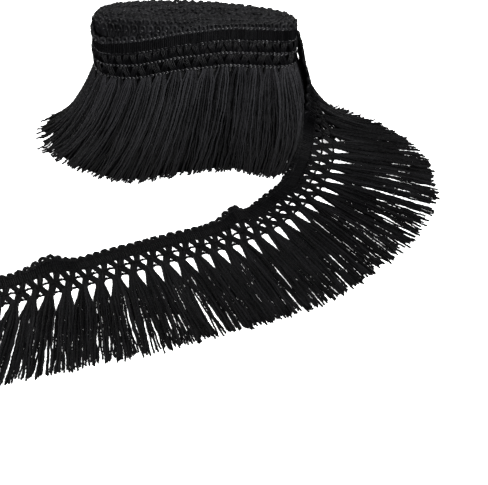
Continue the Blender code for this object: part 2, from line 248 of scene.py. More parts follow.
def rollRim(turns, depth):
    point = ovalPoint(rimOval, turns, roll["turn"] * (1 - turns) - depth)
    passed = sum(smooth(number - 0.2, number + 0.25, turns) for number in (1, 2, 3))
    slope = outerHeight(turns, 1) - roll["innerHeight"]
    ripple = 0.35 * mm * np.sin(2 * np.pi * turns * 3.7) * smooth(1.0, 1.4, turns)
    point[..., 2] = roll["innerHeight"] + slope * roll["follow"] ** passed + ripple
    return point


def rollFloor(turns, depth):
    point = ovalPoint(floorOval, turns, roll["turn"] * (1 - turns) - depth)
    front = smooth(0.0, 0.3, -np.sin(2 * np.pi * (roll["leaving"] + turns)))
    for bulge in floorBulges:
        share = np.exp(-(((point[..., 0] - bulge["x"]) / bulge["width"]) ** 2))
        point[..., 1] -= front * bulge["reach"] * share
    return point


rollTurns = np.linspace(0.0, roll["turns"], 4001)
rollAlong = pathLength(0.5 * (rollNet(rollTurns, 0.0) + rollRim(rollTurns, 0.0)))
rollLength = rollAlong[-1]
outerLength = np.interp(1.0, rollTurns, rollAlong)
outerTassels = int(outerLength // trim["pitch"])


def turnAt(s):
    inside = np.clip(s, 0.0, rollLength)
    return np.interp(inside, rollAlong, rollTurns) + (s - inside) / outerLength


def rollPlace(s, w, h):
    # A point of the wound heading: s along it from the leaving point, w down, h outwards
    s, w, h = np.broadcast_arrays(np.asarray(s, float), w, h)
    turns = turnAt(s)
    rim, net = rollRim(turns, 0.0), rollNet(turns, 0.0)
    way = rollRim(turns + 0.002, 0.0) - rollRim(turns - 0.002, 0.0)
    out = unit(np.cross(way, rim - net))
    return rim + (net - rim) * (w / trim["lineD"])[..., None] + out * h[..., None]


rollPull = dict(out=0.38, height=0.3, endFrom=0.55)     # where the fringe's bend lies


def rollHang(s, share, depth):
    # A point down the roll's fringe, from the tassel line at share 0 to the floor at share 1
    turns = turnAt(s)
    start, end = rollNet(turns, depth), rollFloor(turns, depth)
    pull = lerp(start, end, rollPull["out"])
    facing = np.cos(2 * np.pi * (roll["leaving"] + turns))      # 1 at the roll's right end
    pull[..., 0] += 2 * endSwell * smooth(rollPull["endFrom"], 1.0, facing)
    pull[..., 2] = rollPull["height"] * start[..., 2]
    share = share[..., None]
    return (1 - share) ** 2 * start + 2 * share * (1 - share) * pull + share**2 * end


def addNode(tree, kind, plugs=None, **settings):
    node = tree.nodes.new(kind)
    for key, value in settings.items():
        setattr(node, key, value)
    for plug, value in (plugs or {}).items():
        if isinstance(value, bpy.types.NodeSocket):
            tree.links.new(value, node.inputs[plug])
        else:
            node.inputs[plug].default_value = value
    return node


def startTree(name, kind, inputs, outputs):
    tree = bpy.data.node_groups.new(name, kind)
    for label, socket, value in inputs:
        made = tree.interface.new_socket(name=label, in_out="INPUT", socket_type=socket)
        if value is not None:
            made.default_value = value
    for label, socket in outputs:
        tree.interface.new_socket(name=label, in_out="OUTPUT", socket_type=socket)
    return tree, tree.nodes.new("NodeGroupInput").outputs, tree.nodes.new("NodeGroupOutput")


def yarnTubeTree():
    # Turns every polyline into a two-ply yarn: a flat section that twists as it runs along
    tree, given, out = startTree("yarnTube", "GeometryNodeTree", [
        ("Geometry", "NodeSocketGeometry", None),
        ("Yarn Width", "NodeSocketFloat", 1.0 * mm),
        ("Ply Share", "NodeSocketFloat", 0.62),
        ("Turn Length", "NodeSocketFloat", 3.0 * mm),
        ("Step", "NodeSocketFloat", 0.75 * mm),
        ("Tip Length", "NodeSocketFloat", 1.0 * mm),
        ("Tip Share", "NodeSocketFloat", 0.5),
        ("Sides", "NodeSocketInt", 4),
        ("Stray", "NodeSocketFloat", 0.0),
        ("Seed", "NodeSocketFloat", 1.0),
        ("Material", "NodeSocketMaterial", None),
    ], [("Geometry", "NodeSocketGeometry")])
    curve = addNode(tree, "GeometryNodeMeshToCurve", {"Mesh": given["Geometry"]})
    soft = addNode(tree, "GeometryNodeCurveSplineType", {"Curve": curve.outputs[0]},
                   spline_type="CATMULL_ROM")
    steps = addNode(tree, "GeometryNodeResampleCurve",
                    {"Curve": soft.outputs[0], "Length": given["Step"]}, mode="LENGTH")
    tint = addNode(tree, "GeometryNodeInputNamedAttribute", {"Name": "tint"}, data_type="FLOAT")
    thick = addNode(tree, "GeometryNodeInputNamedAttribute", {"Name": "thick"}, data_type="FLOAT")
    along = addNode(tree, "GeometryNodeSplineParameter")
    whole = addNode(tree, "GeometryNodeSplineLength")

    # Loose ends wander from side to side, more towards the tip
    spread = addNode(tree, "ShaderNodeMath", {0: tint.outputs[0], 1: 40.0}, operation="MULTIPLY")
    place = addNode(tree, "ShaderNodeMath", {0: spread.outputs[0], 1: given["Seed"]}, operation="ADD")
    waves = addNode(tree, "ShaderNodeTexNoise", {"W": place.outputs[0], "Scale": 70.0, "Detail": 1.0},
                    noise_dimensions="4D")
    swing = addNode(tree, "ShaderNodeVectorMath", {0: waves.outputs["Color"], 1: (0.5, 0.5, 0.5)},
                    operation="SUBTRACT")
    reach = addNode(tree, "ShaderNodeMath", {0: along.outputs["Factor"], 1: given["Stray"]},
                    operation="MULTIPLY")
    shift = addNode(tree, "ShaderNodeVectorMath", {0: swing.outputs[0], "Scale": reach.outputs[0]},
                    operation="SCALE")
    moved = addNode(tree, "GeometryNodeSetPosition",
                    {"Geometry": steps.outputs[0], "Offset": shift.outputs[0]})

    # The twist, and a start that differs from yarn to yarn
    turns = addNode(tree, "ShaderNodeMath", {0: along.outputs["Length"], 1: given["Turn Length"]},
                    operation="DIVIDE")
    started = addNode(tree, "ShaderNodeMath", {0: turns.outputs[0], 1: spread.outputs[0]},
                      operation="ADD")
    angle = addNode(tree, "ShaderNodeMath", {0: started.outputs[0], 1: 2 * np.pi},
                    operation="MULTIPLY")
    tilted = addNode(tree, "GeometryNodeSetCurveTilt",
                     {"Curve": moved.outputs[0], "Tilt": angle.outputs[0]})

    # The tip thins out over its last stretch
    left = addNode(tree, "ShaderNodeMath", {0: whole.outputs["Length"], 1: along.outputs["Length"]},
                   operation="SUBTRACT")
    taper = addNode(tree, "ShaderNodeMapRange", {
        "Value": left.outputs[0], "From Min": 0.0, "From Max": given["Tip Length"],
        "To Min": given["Tip Share"], "To Max": 1.0})
    radius = addNode(tree, "ShaderNodeMath", {0: thick.outputs[0], 1: taper.outputs[0]},
                     operation="MULTIPLY")
    sized = addNode(tree, "GeometryNodeSetCurveRadius",
                    {"Curve": tilted.outputs[0], "Radius": radius.outputs[0]})

    half = addNode(tree, "ShaderNodeMath", {0: given["Yarn Width"], 1: 0.5}, operation="MULTIPLY")
    round_ = addNode(tree, "GeometryNodeCurvePrimitiveCircle",
                     {"Resolution": given["Sides"], "Radius": half.outputs[0]})
    flat = addNode(tree, "ShaderNodeCombineXYZ", {"X": 1.0, "Y": given["Ply Share"], "Z": 1.0})
    section = addNode(tree, "GeometryNodeTransform",
                      {"Geometry": round_.outputs[0], "Scale": flat.outputs[0]})
    tube = addNode(tree, "GeometryNodeCurveToMesh",
                   {"Curve": sized.outputs[0], "Profile Curve": section.outputs[0], "Fill Caps": True})
    shaded = addNode(tree, "GeometryNodeSetShadeSmooth", {"Geometry": tube.outputs[0]})
    real = addNode(tree, "GeometryNodeRealizeInstances", {"Geometry": shaded.outputs[0]})
    done = addNode(tree, "GeometryNodeSetMaterial",
                   {"Geometry": real.outputs[0], "Material": given["Material"]})
    tree.links.new(done.outputs[0], out.inputs[0])
    return tree


def stitchRowTree():
    # Sets one stitch on every point, turned by the point's own way and face
    tree, given, out = startTree("stitchRow", "GeometryNodeTree", [
        ("Geometry", "NodeSocketGeometry", None),
        ("Stitch", "NodeSocketObject", None),
        ("Smallest", "NodeSocketFloat", 0.9),
        ("Largest", "NodeSocketFloat", 1.1),
        ("Seed", "NodeSocketInt", 3),
        ("Material", "NodeSocketMaterial", None),
    ], [("Geometry", "NodeSocketGeometry")])
    stitch = addNode(tree, "GeometryNodeObjectInfo", {"Object": given["Stitch"]})
    way = addNode(tree, "GeometryNodeInputNamedAttribute", {"Name": "way"}, data_type="FLOAT_VECTOR")
    face = addNode(tree, "GeometryNodeInputNamedAttribute", {"Name": "face"}, data_type="FLOAT_VECTOR")
    turned = addNode(tree, "FunctionNodeAxesToRotation", {0: way.outputs[0], 1: face.outputs[0]},
                     primary_axis="X", secondary_axis="Z")
    size = addNode(tree, "FunctionNodeRandomValue",
                   {2: given["Smallest"], 3: given["Largest"], "Seed": given["Seed"]}, data_type="FLOAT")
    placed = addNode(tree, "GeometryNodeInstanceOnPoints", {
        "Points": given["Geometry"], "Instance": stitch.outputs["Geometry"],
        "Rotation": turned.outputs[0], "Scale": size.outputs[1]})
    real = addNode(tree, "GeometryNodeRealizeInstances", {"Geometry": placed.outputs[0]})
    done = addNode(tree, "GeometryNodeSetMaterial",
                   {"Geometry": real.outputs[0], "Material": given["Material"]})
    tree.links.new(done.outputs[0], out.inputs[0])
    return tree


yarnTube = yarnTubeTree()
stitchRow = stitchRowTree()


fibreShade = dict(
    tintShare=0.85,             # how much of the shade differs from yarn to yarn
    grainShare=1.4,             # and how much over the surface of one yarn
    grainStart=-0.2,
    # Below this height the yarn is painted darker towards the floor: painted shade
    paintedShadeTop=45.0 * mm,        # from here up the yarn has its full shade
    dulling=0.35,               # how much rougher it gets down to the lowest shade
)


def yarnFibresGroup():
    # Shared by all yarns: the shade, roughness and height of the fibres over the surface, and a painted
    # shade that darkens the yarn towards the floor
    tree, given, out = startTree("yarnFibres", "ShaderNodeTree", [
        ("Fibre Scale", "NodeSocketFloat", 2600.0),
        ("Patch Scale", "NodeSocketFloat", 90.0),
        ("Roughest", "NodeSocketFloat", 0.8),
        ("Smoothest", "NodeSocketFloat", 0.5),
        ("Lowest", "NodeSocketFloat", 0.5),
    ], [("Shade", "NodeSocketFloat"), ("Roughness", "NodeSocketFloat"), ("Height", "NodeSocketFloat")])
    place = addNode(tree, "ShaderNodeTexCoord")
    tint = addNode(tree, "ShaderNodeAttribute", attribute_name="tint")
    fibres = addNode(tree, "ShaderNodeTexNoise", {
        "Vector": place.outputs["Object"], "Scale": given["Fibre Scale"], "Detail": 3.0})
    patches = addNode(tree, "ShaderNodeTexNoise", {
        "Vector": place.outputs["Object"], "Scale": given["Patch Scale"], "Detail": 2.0})
    grain = addNode(tree, "ShaderNodeMath", {0: fibres.outputs["Fac"], 1: patches.outputs["Fac"]},
                    operation="MULTIPLY")
    mixed = addNode(tree, "ShaderNodeMath", {
        0: grain.outputs[0], 1: fibreShade["grainShare"], 2: fibreShade["grainStart"]},
        operation="MULTIPLY_ADD")
    shade = addNode(tree, "ShaderNodeMath", {
        0: tint.outputs["Fac"], 1: fibreShade["tintShare"], 2: mixed.outputs[0]},
        operation="MULTIPLY_ADD", use_clamp=True)
    rough = addNode(tree, "ShaderNodeMapRange", {
        "Value": fibres.outputs["Fac"], "From Min": 0.3, "From Max": 0.7,
        "To Min": given["Smoothest"], "To Max": given["Roughest"]})

    # Painted shade: yarn near the floor is painted darker, and made duller, than the yarn at the roll's
    # top
    where = addNode(tree, "ShaderNodeSeparateXYZ", {"Vector": place.outputs["Object"]})
    light = addNode(tree, "ShaderNodeMapRange", {
        "Value": where.outputs["Z"], "From Min": 0.0, "From Max": fibreShade["paintedShadeTop"],
        "To Min": given["Lowest"], "To Max": 1.0})
    lit = addNode(tree, "ShaderNodeMath", {0: shade.outputs[0], 1: light.outputs[0]},
                  operation="MULTIPLY")
    dull = addNode(tree, "ShaderNodeMath", {
        0: light.outputs[0], 1: -fibreShade["dulling"], 2: fibreShade["dulling"]},
        operation="MULTIPLY_ADD")
    duller = addNode(tree, "ShaderNodeMath", {0: rough.outputs[0], 1: dull.outputs[0]},
                     operation="ADD", use_clamp=True)
    tree.links.new(lit.outputs[0], out.inputs["Shade"])
    tree.links.new(duller.outputs[0], out.inputs["Roughness"])
    tree.links.new(fibres.outputs["Fac"], out.inputs["Height"])
    return tree


yarnFibres = yarnFibresGroup()


def yarnMaterial(name, look):
    material = bpy.data.materials.new(name)
    material.use_nodes = True
    tree = material.node_tree
    shader = tree.nodes["Principled BSDF"]
    fibres = addNode(tree, "ShaderNodeGroup", node_tree=yarnFibres)
    for label, key in (("Fibre Scale", "fibreScale"), ("Patch Scale", "patchScale"),
                       ("Roughest", "roughest"), ("Smoothest", "smoothest"), ("Lowest", "lowest")):
        fibres.inputs[label].default_value = look[key]
    colour = addNode(tree, "ShaderNodeMix", {
        "Factor": fibres.outputs["Shade"], 6: (*look["dark"], 1.0), 7: (*look["light"], 1.0)},
        data_type="RGBA")
    bump = addNode(tree, "ShaderNodeBump", {
        "Height": fibres.outputs["Height"], "Strength": look["bump"], "Distance": 0.15 * mm})
    tree.links.new(colour.outputs[2], shader.inputs["Base Color"])
    tree.links.new(fibres.outputs["Roughness"], shader.inputs["Roughness"])
    tree.links.new(bump.outputs["Normal"], shader.inputs["Normal"])
    shader.inputs["Specular IOR Level"].default_value = look["specular"]
    return material


# Each yarn's darkest and lightest colour, its gloss, and its painted shade at the floor
tasselYarn = yarnMaterial("tasselYarn", dict(
    dark=(0.0001, 0.0001, 0.00012), light=(0.015, 0.015, 0.0165), fibreScale=2600.0,
    patchScale=90.0, roughest=0.5, smoothest=0.32, specular=0.055, bump=0.4, lowest=0.15))
# A darker, less glossy copy of the tassel yarn for the loose fringe and stitches lying on the floor:
# painted shade
lyingYarnPaintedShade = yarnMaterial("lyingYarnPaintedShade", dict(
    dark=(0.0001, 0.0001, 0.00012), light=(0.004, 0.004, 0.0044), fibreScale=2600.0,
    patchScale=90.0, roughest=0.6, smoothest=0.4, specular=0.022, bump=0.4, lowest=1.0))
bandYarn = yarnMaterial("bandYarn", dict(
    dark=(0.0004, 0.0004, 0.0005), light=(0.0022, 0.0022, 0.0025), fibreScale=3200.0,
    patchScale=140.0, roughest=0.5, smoothest=0.3, specular=0.035, bump=0.5, lowest=0.6))
# A lighter copy of the band's yarn for the scallops and inner ribs on the roll's top: painted light
loopYarnPaintedLight = yarnMaterial("loopYarnPaintedLight", dict(
    dark=(0.0006, 0.0006, 0.0008), light=(0.006, 0.006, 0.0067), fibreScale=3200.0,
    patchScale=140.0, roughest=0.6, smoothest=0.35, specular=0.06, bump=0.5, lowest=0.4))
stitchYarn = yarnMaterial("stitchYarn", dict(
    dark=(0.004, 0.004, 0.0045), light=(0.03, 0.03, 0.033), fibreScale=3200.0, patchScale=140.0,
    roughest=0.45, smoothest=0.28, specular=0.3, bump=0.3, lowest=0.2))


def runTree(piece, tree, values):
    modifier = piece.modifiers.new(tree.name, "NODES")
    modifier.node_group = tree
    sockets = {item.name: item.identifier for item in tree.interface.items_tree
               if item.item_type == "SOCKET" and item.in_out == "INPUT"}
    for label, value in values.items():
        modifier[sockets[label]] = value
    graph = bpy.context.evaluated_depsgraph_get()
    mesh = bpy.data.meshes.new_from_object(piece.evaluated_get(graph))
    piece.modifiers.clear()
    piece.data = mesh


def addMesh(name, points, edges=(), faces=()):
    mesh = bpy.data.meshes.new(name)
    mesh.from_pydata(points, edges, faces)
    piece = bpy.data.objects.new(name, mesh)
    bpy.context.scene.collection.objects.link(piece)
    return piece


def setAttribute(piece, name, kind, values):
    attribute = piece.data.attributes.new(name, kind, "POINT")
    attribute.data.foreach_set("vector" if kind == "FLOAT_VECTOR" else "value",
                               np.asarray(values, np.float32).ravel())


def makeYarn(name, bundles, material, sizes):
    # bundles: arrays of yarns x points x 3, with their thickness against the usual one and,
    # where they lie deep in shade, how much of the usual tint they have, as painted shade
    points, edges, thick, tint = [], [], [], []
    first = 0
    for lines, width, *paintedShadeShare in bundles:
        yarns, stations = lines.shape[:2]
        points.append(lines.reshape(-1, 3))
        grid = first + np.arange(yarns * stations).reshape(yarns, stations)
        edges.append(np.stack([grid[:, :-1], grid[:, 1:]], -1).reshape(-1, 2))
        thick.append(np.broadcast_to(np.asarray(width, float).reshape(-1, 1), (yarns, stations)).ravel())
        tint.append(np.repeat(rng.random(yarns) * (paintedShadeShare[0] if paintedShadeShare else 1.0), stations))
        first += yarns * stations
    piece = addMesh(name, np.concatenate(points), np.concatenate(edges))
    setAttribute(piece, "thick", "FLOAT", np.concatenate(thick))
    setAttribute(piece, "tint", "FLOAT", np.concatenate(tint))
    runTree(piece, yarnTube, {**sizes, "Material": material})
    print(name, len(piece.data.polygons), "faces")
    return piece


def makeStitches(name, rows, material):
    # rows: the places of the stitches, with the way along the line and the face of the cloth
    places, ways, faces = (np.concatenate(part) for part in zip(*rows))
    piece = addMesh(name, places)
    setAttribute(piece, "way", "FLOAT_VECTOR", ways)
    setAttribute(piece, "face", "FLOAT_VECTOR", faces)
    runTree(piece, stitchRow, {"Stitch": link, "Smallest": linkSizes["smallest"],
                               "Largest": linkSizes["largest"], "Material": material})
    print(name, len(piece.data.polygons), "faces")
    return piece


def chainLink(sizes):
    # One link of the chain stitch: two beads of yarn that meet in a V
    bm = bmesh.new()
    for side in (-1, 1):
        made = bmesh.ops.create_uvsphere(bm, u_segments=6, v_segments=4, radius=0.5)
        lie = Euler((0.0, np.pi / 2, 0.0)).to_matrix().to_4x4()
        bmesh.ops.transform(bm, matrix=lie, verts=made["verts"])
        bmesh.ops.scale(bm, vec=(sizes["length"], sizes["width"], sizes["width"]), verts=made["verts"])
        splay = Euler((0.0, 0.0, -side * np.radians(sizes["splay"]))).to_matrix().to_4x4()
        bmesh.ops.transform(bm, matrix=splay, verts=made["verts"])
        bmesh.ops.translate(bm, vec=(0.0, side * sizes["apart"] / 2, 0.0), verts=made["verts"])
    mesh = bpy.data.meshes.new("chainLink")
    bm.to_mesh(mesh)
    bm.free()
    mesh.shade_smooth()
    return bpy.data.objects.new("chainLink", mesh)


def stitchLine(place, s, w, h):
    nudge = 0.3 * mm
    here = place(s, w, h)
    way = unit(place(s + nudge, w, h) - place(s - nudge, w, h))
    face = unit(place(s, w, h + nudge) - here)
    return here, way, face


def centresOf(count):
    return (np.arange(count) + 0.5) * trim["pitch"]


def scallopYarns(place, centres, sizes):
    # One thick picot loop over each half pitch: up from line A, over a small hole, down again
    angle = np.linspace(-0.12 * np.pi, 1.12 * np.pi, 11)
    half = sizes["loopHalf"] + rng.normal(0.0, 0.06 * mm, (len(centres), 1))
    top = sizes["loopTop"] + rng.normal(0.0, 0.15 * mm, (len(centres), 1))
    s = centres[:, None] - np.cos(angle)[None, :] * half
    w = lerp(sizes["loopFoot"], top, np.clip(np.sin(angle), 0.0, 1.0)[None, :] ** 0.4)
    return place(s, w, sizes["loopLift"] * np.ones_like(s))


def archedLine(line, s, arch):
    # A cross line rises over the holes below it: line C over the tassels, line D between them
    phase = dict(lineB=0.0, lineC=0.5, lineD=0.0)[line]
    rise = 0.0 if line == "lineB" else arch
    return trim[line] - rise * np.cos(2 * np.pi * (s / trim["pitch"] - phase))


def lineYarn(place, begin, end, line, h, arch=0.0):
    # A yarn that runs along the whole strip
    s = np.arange(begin, end, 1.0 * mm)[None, :]
    w = trim[line] * np.ones_like(s) if line == "lineA" else archedLine(line, s, arch)
    return place(s, w, h * np.ones_like(s))


def bandRibs(place, begin, end, foot, sizes):
    # Fine upright ribs of yarn between line A and the band's foot
    s = np.arange(begin, end, sizes["ribPitch"])
    s = s + rng.uniform(-0.08, 0.08, len(s)) * mm
    w = np.linspace(trim["lineA"] - 0.1 * mm, foot, sizes["ribPoints"])
    lean = rng.uniform(-0.15, 0.15, len(s))[:, None] * mm * np.linspace(-1, 1, len(w))[None, :]
    return place(s[:, None] + lean, w[None, :] * np.ones_like(lean), sizes["ribLift"])


def netYarns(place, centres, sizes):
    # Legs of yarn from the band to the first knots, midway between tassels, and on to the heads
    bundles = []
    stations = np.linspace(0.0, 1.0, 8)[None, :]
    bulge = np.sin(np.pi * stations)
    for side in (-1, 1):
        for j in range(5):
            outer = j / 4           # 0 for the yarn nearest the tassel's middle, 1 for the last
            wobble = rng.normal(0.0, sizes["wobble"], (len(centres), 1))
            top, knot, head = (
                centres[:, None] + side * lerp(near, far, outer) + wobble
                for near, far in (sizes["band"], sizes["knot"], sizes["head"]))
            rise = rng.uniform(-0.2, 0.2, (len(centres), 1)) * mm
            s = lerp(top, knot, smooth(lerp(0.1, 0.2, outer), 0.95, stations))
            w = lerp(trim["lineB"] - 0.3 * mm, trim["lineC"] + 0.3 * mm, stations)
            bundles.append((place(s, w, rise + sizes["puff"] * bulge), 1.0))
            s = lerp(knot, head, smooth(0.28 * outer, lerp(0.85, 1.0, outer), stations))
            w = lerp(trim["lineC"] - 0.3 * mm, trim["lineD"] + 0.6 * mm, stations)
            bundles.append((place(s, w, sizes["puff"] * bulge - rise), 1.0))
    return bundles


# The strands of a tassel: how wide they start over the head and fan out, by where they hang
looseFan = dict(
    headHalf=1.4 * mm,          # half the head's width to the outer strands' middles
    fanHalf=3.3 * mm,           # half the fan's width once it is open
    fanShare=0.3,               # how far down it is fully open
    clumpDrift=0.85 * mm,       # how far neighbours lean together towards the tips
    drift=0.3 * mm,             # how far each strand leans on its own
    sway=0.5 * mm,
    crimp=0.1 * mm,
)
rollFan = dict(looseFan, headHalf=2.0 * mm, fanShare=0.11, clumpDrift=1.2 * mm, drift=0.8 * mm,
               sway=0.8 * mm, crimp=0.12 * mm)
shares = np.concatenate([[0.0, 0.02, 0.05, 0.09, 0.14], np.linspace(0.2, 1.0, 19)])


def strandSides(centres, slots, fan):
    # Places along the strip of every strand at every station down the fringe
    count = len(centres)
    slots = np.linspace(-1.0, 1.0, slots)[None, :, None]
    slots = slots + rng.normal(0.0, 0.05, (count, slots.shape[1], 1))
    half = lerp(fan["headHalf"], fan["fanHalf"], smooth(0.0, fan["fanShare"], shares))
    turn = rng.uniform(0.0, 2 * np.pi, (3, count, 1, 1))
    phase = rng.uniform(0.0, 2 * np.pi, slots.shape)
    speed = rng.uniform(0.4, 1.1, slots.shape)
    clump = np.sin(2.2 * slots + turn[0]) + 0.7 * np.sin(5.5 * slots + turn[1])
    clump = clump * (0.2 + 1.4 * rng.random((count, 1, 1)) ** 2)
    lean = fan["clumpDrift"] * clump + rng.normal(0.0, fan["drift"], slots.shape)
    sway = fan["sway"] * shares * np.sin(2 * np.pi * 0.8 * shares + turn[2] + 1.5 * slots)
    crimp = fan["crimp"] * np.sin(2 * np.pi * (3.0 + 3.0 * speed) * shares + phase)
    s = (centres[:, None, None] + half * slots + lean * shares**1.4 + sway
         + crimp * smooth(0.0, 0.2, shares))
    return s.reshape(-1, len(shares))


def looseStrands(centres, slots, lift, shortest=None):
    # shortest: where given, the strands fall more steeply, down to this share of the full reach
    s = strandSides(centres, slots, looseFan)
    count = len(s)
    stretch = 1.0 + np.clip(rng.normal(0.0, 0.028, (count, 1)), -0.07, 0.05)
    if shortest is not None:
        stretch = rng.uniform(shortest, 0.72, (count, 1))
    stretch = stretch * np.ones_like(s)
    settle = smooth(0.1, 0.9, shares)[None, :]
    rest = rng.uniform(-0.25, 0.55, (count, 1)) * mm
    arch = np.abs(rng.normal(0.0, 0.6, (count, 1))) * mm * np.sin(np.pi * shares)[None, :]
    h = lerp(lift, rest, settle) + arch
    lines = looseHang(s, np.broadcast_to(shares, s.shape), h, stretch)
    root = loosePlace(s[:, :1], trim["lineD"] - 0.9 * mm, lift)
    lines = np.concatenate([root, lines], 1)
    lines[..., 2] = np.maximum(lines[..., 2], 0.75 * mm)
    return lines


def rollStrands(centres, slots, depth, stray):
    s = strandSides(centres, slots, rollFan)
    count = len(s)
    reach = 1.0 - np.abs(rng.normal(0.0, 0.022, (count, 1)))
    share = shares[None, :] * reach
    out = rng.normal(0.0, 0.3, (count, 1)) * mm * share + stray(s[:, :1]) * share**3
    lines = rollHang(s, share, depth - out)
    root = rollPlace(s[:, :1], trim["lineD"] - 0.9 * mm, -depth)
    lines = np.concatenate([root, lines], 1)
    lines[..., 2] = np.maximum(lines[..., 2], 0.75 * mm)
    return lines


def sheetGrid(place, begin, end, top, foot, columns, rows):
    s, w = np.meshgrid(np.linspace(begin, end, columns), np.linspace(top, foot, rows), indexing="ij")
    points = place(s, w, np.zeros_like(s)).reshape(-1, 3)
    grid = np.arange(columns * rows).reshape(columns, rows)
    faces = np.stack([grid[:-1, :-1], grid[1:, :-1], grid[1:, 1:], grid[:-1, 1:]], -1).reshape(-1, 4)
    return points, faces


def makeSheet(name, grids, thickness, material):
    points, faces, first = [], [], 0
    for gridPoints, gridFaces in grids:
        points.append(gridPoints)
        faces.append(gridFaces + first)
        first += len(gridPoints)
    piece = addMesh(name, np.concatenate(points), (), np.concatenate(faces))
    piece.data.materials.append(material)
    piece.data.shade_smooth()
    wall = piece.modifiers.new("wall", "SOLIDIFY")
    wall.thickness = thickness
    wall.offset = 0.0
    print(name, len(piece.data.polygons), "faces")
    return piece


band = dict(
    sheetThickness=0.3 * mm,
    ribPitch=0.9 * mm,
    ribPoints=4,
    ribLift=0.15 * mm,
    linkPitch=1.75 * mm,
    linkLift=0.5 * mm,
    knotLinkLift=0.75 * mm,     # over the puffed net of the roll
    lineLift=0.2 * mm,
    rollLineLift=0.45 * mm,
    overlap=1.0 * mm,           # how far the roll's strip runs on under the leaving one
    loopHalf=1.12 * mm,
    loopTop=-0.45 * mm,
    loopFoot=2.4 * mm,
    loopLift=0.05 * mm,
)
net = dict(                     # from the tassel's middle: each leg's inner and outer yarn
    band=(0.3 * mm, 2.55 * mm),
    knot=(1.75 * mm, 3.4 * mm),
    head=(0.1 * mm, 1.8 * mm),
    arch=0.45 * mm,
    puff=0.2 * mm,
    wobble=0.1 * mm,
)
linkSizes = dict(length=1.7 * mm, width=0.62 * mm, splay=24.0, apart=0.56 * mm, smallest=0.7,
                 largest=1.15)
link = chainLink(linkSizes)
ribYarn = {"Yarn Width": 0.8 * mm, "Ply Share": 1.0, "Turn Length": 6.0 * mm, "Step": 1.2 * mm,
           "Tip Length": 0.4 * mm, "Tip Share": 0.8}
scallopYarn = {"Yarn Width": 1.85 * mm, "Ply Share": 0.8, "Turn Length": 2.6 * mm, "Step": 0.5 * mm,
               "Tip Length": 0.3 * mm, "Tip Share": 0.9}
netYarn = {"Yarn Width": 1.08 * mm, "Ply Share": 0.75, "Turn Length": 3.2 * mm, "Step": 0.7 * mm,
           "Tip Length": 0.3 * mm, "Tip Share": 0.9}
strandYarn = {"Yarn Width": 1.06 * mm, "Ply Share": 0.75, "Turn Length": 4.2 * mm, "Step": 0.85 * mm,
              "Tip Length": 1.5 * mm, "Tip Share": 0.3, "Sides": 3, "Stray": 1.8 * mm}
strandCount = dict(lower=12, upper=11, under=10, outer=8, inner=10, corner=13)
innerScale = 0.54               # the inner turns' loops against the outer one's
bandTop = trim["lineA"] - 0.2 * mm
bandFoot = trim["lineB"] + 0.2 * mm
innerFoot = trim["lineD"] - 1.0 * mm
tasselsPerGroup = 8
looseGroups = 5
allPieces = []


def finishPiece(piece, nodes=()):
    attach(piece, "root")
    if nodes:
        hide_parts(*nodes)
    allPieces.append(piece)


# Loose stretch: the band, its ribs, scallops, stitches and net
looseEnd = looseTassels * trim["pitch"]
looseCentres = centresOf(looseTassels)
looseBand = makeSheet("loose_band", [
    sheetGrid(loosePlace, 0.0, looseEnd, bandTop, bandFoot, columns=320, rows=8)],
    band["sheetThickness"], bandYarn)
looseRibs = makeYarn("loose_ribs", [
    (bandRibs(loosePlace, 0.2 * mm, looseEnd, trim["lineB"], band), 1.0)], bandYarn, ribYarn)
halfPitches = (np.arange(2 * looseTassels) + 0.5) * trim["pitch"] / 2
looseScallops = makeYarn("loose_scallops", [
    (scallopYarns(loosePlace, halfPitches, band), 1.0),
    (lineYarn(loosePlace, 0.0, looseEnd, "lineA", 0.0), 0.5)], bandYarn, scallopYarn)
looseNet = makeYarn("loose_net", netYarns(loosePlace, looseCentres, net) + [
    (lineYarn(loosePlace, 0.0, looseEnd, line, band["lineLift"], net["arch"]), 1.35)
    for line in ("lineB", "lineC", "lineD")], bandYarn, netYarn)
linkPlaces = np.arange(0.6 * mm, looseEnd, band["linkPitch"])
# The loose stretch's stitches take the darker lying yarn: painted shade
looseStitches = makeStitches("loose_stitches", [
    stitchLine(loosePlace, linkPlaces, trim["lineA"], band["linkLift"])] + [
    stitchLine(loosePlace, linkPlaces, archedLine(line, linkPlaces, net["arch"]), band["linkLift"])
    for line in ("lineB", "lineC", "lineD")], lyingYarnPaintedShade)
for number in range(looseGroups):
    own = looseCentres[number * tasselsPerGroup:(number + 1) * tasselsPerGroup]
    # Lower and under strands keep less of the tint: painted shade under the upper strands
    bundles = [
        (looseStrands(own, strandCount["lower"], -0.25 * mm), 1.0, 0.3),
        (looseStrands(own, strandCount["upper"], 0.55 * mm), 1.0),
    ]
    raised = own[looseFrame(own)[0][:, 2] > 6.0 * mm]
    if len(raised):
        under = looseStrands(raised, strandCount["under"], -0.5 * mm, shortest=-0.3)
        bundles.append((under, 1.0, 0.15))
    piece = makeYarn(f"loose_tassels_{number + 1}", bundles, lyingYarnPaintedShade, strandYarn)
    finishPiece(piece, [f"loose_fringe_{number + 1}"])
finishPiece(looseBand, ["loose_heading"])
for piece in (looseRibs, looseScallops, looseNet, looseStitches):
    finishPiece(piece)
print("loose stretch done")

